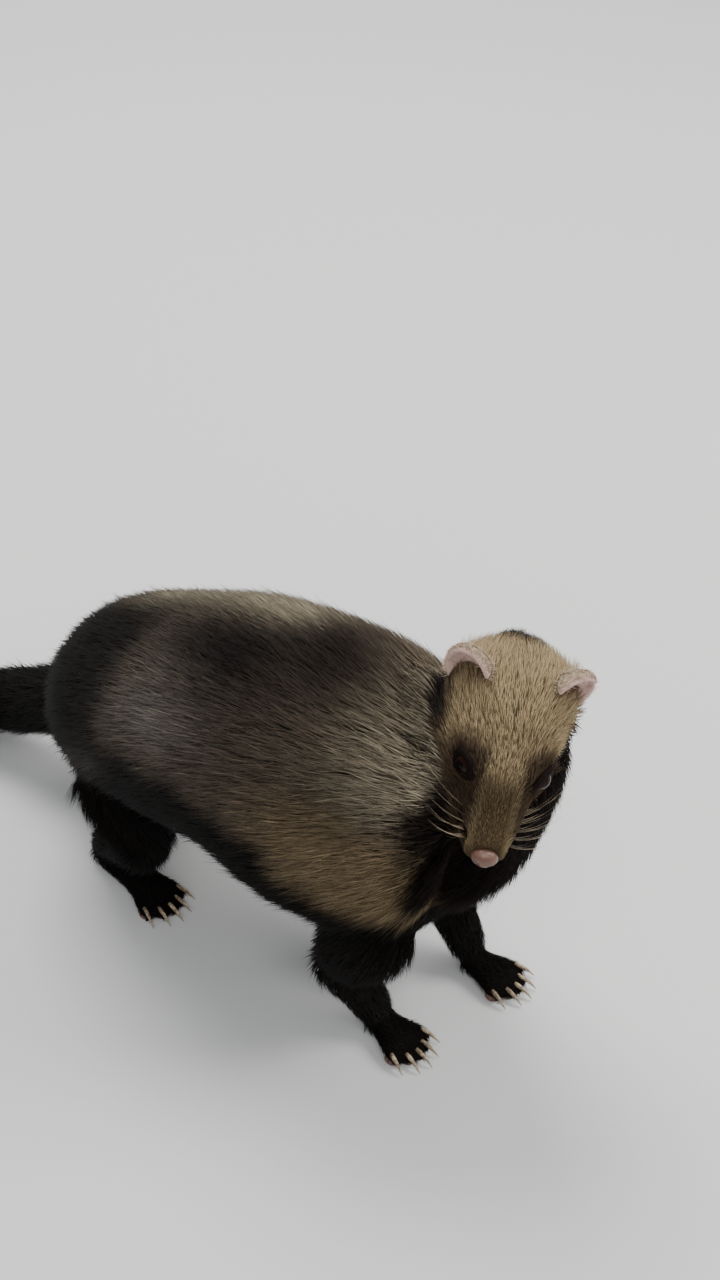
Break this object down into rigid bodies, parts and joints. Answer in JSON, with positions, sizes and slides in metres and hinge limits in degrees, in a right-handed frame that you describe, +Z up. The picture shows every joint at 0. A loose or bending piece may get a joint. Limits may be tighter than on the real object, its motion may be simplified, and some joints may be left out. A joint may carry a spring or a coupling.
{
  "type": "ferret",
  "caption": "Life-size ferret standing with an arched back, its neck raised and its face turned down to the right.",
  "frame": {"origin": "on the floor under the middle of the animal's bounding box", "axes": "+X towards the animal's chest and away from its tail, +Y to its left, +Z up"},
  "size_m": [0.311, 0.0952, 0.1576],
  "materials": {
    "sable_coat": "soft fur, dark sable",
    "flank_coat": "soft fur, tan grey with dark guard hair",
    "cream_coat": "short soft fur, cream",
    "dark_coat": "soft fur, nearly black",
    "nose_skin": "moist bare skin",
    "ear_skin": "thin bare skin with short hair",
    "eye": "wet gloss"
  },
  "bodies": {
    "root": {"hips": "sable_coat", "loin": "flank_coat", "chest": "flank_coat", "tail_root": "dark_coat", "tail_middle": "dark_coat", "tail_tip": "dark_coat", "neck": "dark_coat", "head": "cream_coat", "nose": "nose_skin", "eye_left": "eye", "eye_right": "eye", "ear_left": "ear_skin", "ear_right": "ear_skin", "upper_arm_left": "dark_coat", "upper_arm_right": "dark_coat", "forearm_left": "dark_coat", "forearm_right": "dark_coat", "forepaw_left": "dark_coat", "forepaw_right": "dark_coat", "thigh_left": "dark_coat", "thigh_right": "dark_coat", "shank_left": "dark_coat", "shank_right": "dark_coat", "hindpaw_left": "dark_coat", "hindpaw_right": "dark_coat"}
  },
  "joints": []
}
